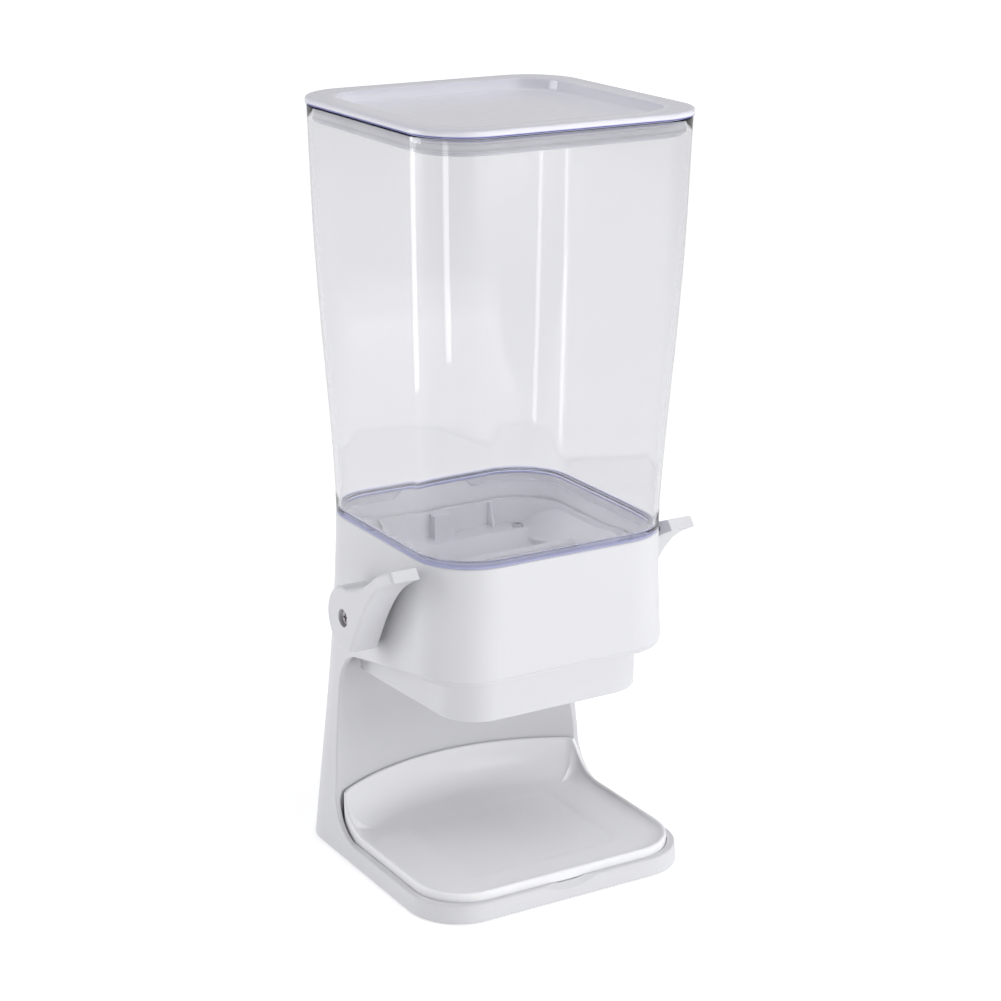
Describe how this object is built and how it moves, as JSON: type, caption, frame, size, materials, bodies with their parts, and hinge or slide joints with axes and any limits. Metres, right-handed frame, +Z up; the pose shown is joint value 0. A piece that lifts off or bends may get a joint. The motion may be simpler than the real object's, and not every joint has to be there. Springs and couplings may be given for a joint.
{
  "type": "cereal dispenser",
  "caption": "Countertop dry-food dispenser: clear tapered hopper with a push-in lid on a white C-shaped stand with a drip tray, and two finger levers that swing a curved gate under the funnel.",
  "frame": {"origin": "on the table, under the hopper's vertical axis, at the middle of the footprint", "axes": "+Z up, -Y is the front where the cereal comes out, +X to the right seen from the front"},
  "size_m": [0.1956, 0.17, 0.4368],
  "materials": {
    "white_plastic": "satin moulded ABS",
    "tray_plastic": "glossy moulded ABS",
    "clear_plastic": "clear SAN, polished",
    "frosted_plastic": "translucent, satin",
    "plug_plastic": "translucent",
    "gasket": "silicone, matte",
    "container_edge": "translucent silicone",
    "silicone_grey": "silicone, matte",
    "acetal": "acetal",
    "steel": "zinc plated",
    "dark_screw": "black zinc"
  },
  "bodies": {
    "stand": {"stand_shell": "white_plastic", "rear_cover": "white_plastic", "cover_screws": "steel", "base_plate": "white_plastic", "base_screws": "steel", "feet": "silicone_grey", "spout": "white_plastic", "spout_screws": "steel", "funnel": "white_plastic", "funnel_screws": "steel", "gate_bumpers": "silicone_grey", "bush_left": "acetal", "bush_right": "acetal", "spring_left": "steel", "spring_right": "steel", "container_seal": "container_edge"},
    "gate": {"gate_shutter": "white_plastic", "drive_shaft": "steel", "lever_left": "white_plastic", "lever_right": "white_plastic", "lever_screws": "dark_screw", "lever_washers": "acetal"},
    "container": {"container": "clear_plastic"},
    "lid": {"lid": "frosted_plastic", "lid_plug": "plug_plastic", "lid_gasket": "gasket"},
    "tray": {"tray": "tray_plastic"}
  },
  "joints": [
    {"name": "gate_hinge", "type": "hinge", "parent": "stand", "child": "gate", "pos_m": [0, 0, 0.1595], "axis": [1, 0, 0], "range_deg": [0, 32], "stiffness_Nm_per_rad": 0.05, "springref_deg": -34.38},
    {"name": "container_lift", "type": "slide", "parent": "stand", "child": "container", "axis": [0, 0, 1], "range_m": [0, 0.03]},
    {"name": "lid_lift", "type": "slide", "parent": "container", "child": "lid", "axis": [0, 0, 1], "range_m": [0, 0.04]},
    {"name": "tray_lift", "type": "slide", "parent": "stand", "child": "tray", "axis": [0, 0, 1], "range_m": [0, 0.05]}
  ]
}
